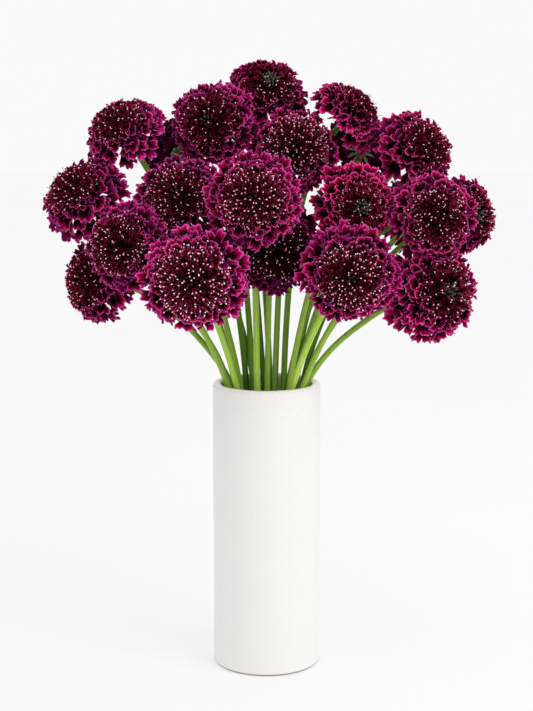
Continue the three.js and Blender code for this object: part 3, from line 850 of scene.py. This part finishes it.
def headTree():
    kinds = dict(Radius="Float", Rays="Collection", Cups="Collection", Florets="Collection")
    kinds |= dict(Buds="Collection", Pins="Collection", RayCount="Int", FloretCount="Int", BudCount="Int")
    kinds |= dict(Disc="Float", PinShare="Float", Tone="Float", Warm="Float", Fresh="Float")
    kinds |= dict(Down="Vector", Seed="Int")
    graph, given = newTree("scabiousHead", **kinds)
    seed = given.out("Seed")
    index = graph.node("GeometryNodeInputIndex")
    size = given.out("Radius")
    size = graph.vector(size, size, size)

    def pointsAt(count, turn, out, height, tone, row, warm=None):
        points = graph.node("GeometryNodeSetPosition", {
            "Geometry": graph.node("GeometryNodePoints", {"Count": count}),
            "Position": graph.around(turn, out, height),
        })
        kept = {"fresh": given.out("Fresh"), "warm": warm or given.out("Warm"), "tone": tone, "row": row}
        for name, value in kept.items():
            points = graph.store(points, name, value)
        return points

    def grow(points, shapes, turn, scale, material, chosen):
        pick = graph.node("FunctionNodeRandomValue", {4: 0, 5: 11, 8: seed + 31}, output=2, data_type="INT")
        grown = graph.node("GeometryNodeInstanceOnPoints", {
            "Points": points, "Instance": graph.shapes(given.out(shapes)), "Pick Instance": True,
            "Instance Index": pick, "Rotation": graph.turned(turn), "Scale": scale, "Selection": chosen,
        })
        grown = graph.node("GeometryNodeTransform", {"Geometry": grown, "Scale": size})
        return finishBranch(graph, grown, finishes[material])

    # rays: from the lowest, drooping ones up to the cups round the dome
    count = given.out("RayCount")
    share = index / count
    turn = index * goldenTurn + graph.spread(0.14, seed)
    low, high = (math.radians(n) for n in bloom["rayRise"])
    rise = between((low, high), share) + graph.spread(0.17, seed + 1)
    down = graph.node("ShaderNodeSeparateXYZ", {0: given.out("Down")})
    hanging = graph.maths("COSINE", turn) * down.out("X") + graph.maths("SINE", turn) * down.out("Y")
    rise = rise - graph.maths("MAXIMUM", hanging, 0) * (1 - share) * bloom["droop"]
    tone = given.out("Tone") * 0.7 + graph.random(-0.1, 0.4, seed + 2)
    warm = given.out("Warm") * 0.8 + share * 0.2 + graph.spread(0.12, seed + 17)
    disc = given.out("Disc")
    out, height = between(bloom["rayRoot"], share) * disc, between(bloom["rayHeight"], share)
    rays = pointsAt(count, turn, out, height, tone, share, warm)
    longer = 1 + bloom["rayLonger"] - disc * bloom["rayLonger"]
    wide = between(bloom["raySize"], share) * longer * graph.random(*bloom["raySizes"], seed + 3)
    tilt = graph.vector(rise, graph.spread(0.28, seed + 4), turn - math.pi / 2)
    scale = graph.vector(wide, wide, wide)
    branches = [
        grow(rays, "Rays", tilt, scale, "petal", share < bloom["cupsFrom"]),
        grow(rays, "Cups", tilt, scale, "petal", share >= bloom["cupsFrom"]),
    ]

    # pins in the upper cups
    reach, high = graph.maths("COSINE", rise) * bloom["pinOut"], graph.maths("SINE", rise) * bloom["pinOut"]
    throats = pointsAt(count, turn, out + reach, height + high, graph.random(0, 1, seed + 18), share)
    chance = graph.random(0, 1, seed + 19) < given.out("PinShare") * graph.smooth(share, 0.45, 0.6)
    tilt = graph.vector(rise - math.pi / 2, 0.0, turn - math.pi / 2)
    branches.append(grow(throats, "Pins", tilt, graph.vector(1.0, 1.0, 1.0), "pin", chance))

    # disc florets and the unopened middle, spread evenly over the dome
    count = given.out("FloretCount")
    share = (index + 0.5) / count
    turn = index * goldenTurn + graph.spread(0.1, seed + 5)
    edge = 1 - math.cos(math.radians(bloom["domeTo"]))
    polar = graph.maths("ARCCOSINE", 1 - share * edge)
    out = graph.maths("SINE", polar) * disc * bloom["domeWide"]
    height = graph.maths("COSINE", polar) * bloom["domeHeight"] + bloom["domeMiddle"]
    tone = graph.random(0, 1, seed + 6) * (1 - given.out("Tone") * 0.85)
    florets = pointsAt(count, turn, out, height, tone, share)
    wide = (0.8 + share * share * 0.45) * graph.random(*bloom["floretSizes"], seed + 7)
    lean = polar + graph.spread(0.12, seed + 9)
    tilt = graph.vector(graph.spread(0.14, seed + 8), lean, turn)
    scale = graph.vector(wide, wide, graph.random(*bloom["floretLengths"], seed + 10))
    small = graph.node("ShaderNodeVectorMath", {0: scale, 3: bloom["budSize"]}, operation="SCALE")
    branches.append(grow(florets, "Buds", tilt, small, "bud", index < given.out("BudCount")))
    branches.append(grow(florets, "Florets", tilt, scale, "disc", index >= given.out("BudCount")))

    # pins: out of the throats of evenly picked florets, standing just proud of them
    chance = graph.maths("FRACT", index * given.out("PinShare") + 0.3) < given.out("PinShare")
    long = graph.random(*bloom["pinLengths"], seed + 14)
    lean = polar + graph.spread(0.1, seed + 16)
    tilt = graph.vector(graph.spread(0.1, seed + 15), lean, turn)
    branches.append(grow(florets, "Pins", tilt, graph.vector(1.0, 1.0, long), "pin", chance))

    receptacle = graph.node("GeometryNodeTransform", {"Geometry": given.out("Geometry"), "Scale": size})
    branches.append(finishBranch(graph, receptacle, finishes["petal"]))
    return endTree(graph, branches)


cutStem = stemTree()
scabiousHead = headTree()
receptacle = coreMesh()
rays = newSet("ray", rayMesh, rayShape)
cups = newSet("cup", rayMesh, cupShape)
florets = newSet("floret", discMesh, floret)
buds = newSet("bud", budMesh, bud)
pins = newSet("pin", pinMesh, pin)
bracts = newSet("bract", bractMesh, bract)
print("shapes made")

rolls = np.random.default_rng(bloom["seed"])
for number, head in enumerate(heads, 1):
    middles = packedRings(f"stem_{number:02d}")
    axis = (middles[-1] - middles[-2]).normalized()
    neck = middles[-1] + axis * stem["neckPast"] * mm
    turned = axis.to_track_quat("Z", "Y").to_matrix()
    rolled = turned @ Matrix.Rotation(rolls.uniform(0, 2 * math.pi), 3, "Z")
    down = rolled.inverted() @ Vector((0, 0, -1))
    radius = head["radius"] * mm
    mouth = min(middles, key=lambda point: abs(point.z - vase["height"] * mm))
    # painted light and shade: stems nearer the front get a lighter tone, those further back a darker one,
    # with some random spread
    bright = 0.5 - mouth.y / (stem["shadeDepth"] * mm)
    bright += rolls.uniform(-stem["toneSpread"], stem["toneSpread"])
    mesh = runTree(
        cutStem, routeMesh(smoothRoute(middles)), Radius=stem["radius"] * mm, Sides=stem["sides"],
        Tone=min(max(bright, 0.0), 1.0), Bracts=bracts, BractCount=stem["bracts"],
        BractLength=stem["bractLength"], HeadRadius=radius, Neck=neck, Turn=turned.to_euler(), Seed=number,
    )
    newPiece(f"stem_grown_{number:02d}", mesh, f"stem_{number:02d}")
    unopened = round(bloom["fewestBuds"] + bloom["buds"] * head["fresh"])
    mesh = runTree(
        scabiousHead, receptacle, Radius=radius, Rays=rays, Cups=cups, Florets=florets, Buds=buds, Pins=pins,
        RayCount=bloom["rays"], FloretCount=bloom["discFlorets"], BudCount=unopened, Disc=head["disc"],
        PinShare=head["pins"] / bloom["discFlorets"], Tone=head["tone"], Warm=head["warm"],
        Fresh=head["fresh"], Down=down, Seed=100 * number,
    )
    mesh.transform(Matrix.Translation(neck) @ rolled.to_4x4())
    newPiece(f"bloom_grown_{number:02d}", mesh, f"bloom_{number:02d}")
for shapes in (rays, cups, florets, buds, pins, bracts):
    for shape in list(shapes.objects):
        bpy.data.objects.remove(shape)
    bpy.data.collections.remove(shapes)
print("stems and blooms grown")


# Floor and light

studio = {
    "floorHalf": 6, "glow": 0.555, "sky": 0.965, "aim": (0, 0, 0.25),
    "lamps": [
        {"name": "key", "place": (1.3, -1.0, 1.2), "size": 1.1, "power": 13},
        {"name": "fill", "place": (-1.4, -1.0, 0.7), "size": 1.4, "power": 0.6},
    ],
}


def floorLook(graph):
    cloud = graph.noise(graph.place(), 3, 2)
    return {"Base Color": graph.mix(cloud, (0.37, 0.37, 0.37, 1), (0.39, 0.39, 0.39, 1))}


half = studio["floorHalf"]
corners = [(-half, -half, 0), (half, -half, 0), (half, half, 0), (-half, half, 0)]
floorPiece = bpy.data.objects.new("floor", newMesh("floor", corners, [[0, 1, 2, 3]]))
scene.collection.objects.link(floorPiece)
floorPiece.data.materials.append(newFinish("floorPaper", "", {
    "Emission Color": (1, 1, 1, 1), "Emission Strength": studio["glow"], "Roughness": 0.9,
    "Specular IOR Level": 0.1,
}, floorLook))

for lamp in studio["lamps"]:
    made = bpy.data.objects.new(lamp["name"], bpy.data.lights.new(lamp["name"], "AREA"))
    scene.collection.objects.link(made)
    made.data.energy = lamp["power"]
    made.data.size = lamp["size"]
    made.location = lamp["place"]
    made.rotation_euler = (Vector(lamp["place"]) - Vector(studio["aim"])).to_track_quat("Z", "Y").to_euler()

scene.world = bpy.data.worlds.new("studio")
scene.world.use_nodes = True
sky = scene.world.node_tree.nodes["Background"]
sky.inputs["Color"].default_value = (1, 1, 1, 1)
sky.inputs["Strength"].default_value = studio["sky"]
scene.view_settings.view_transform = "Standard"
print("floor and light set")
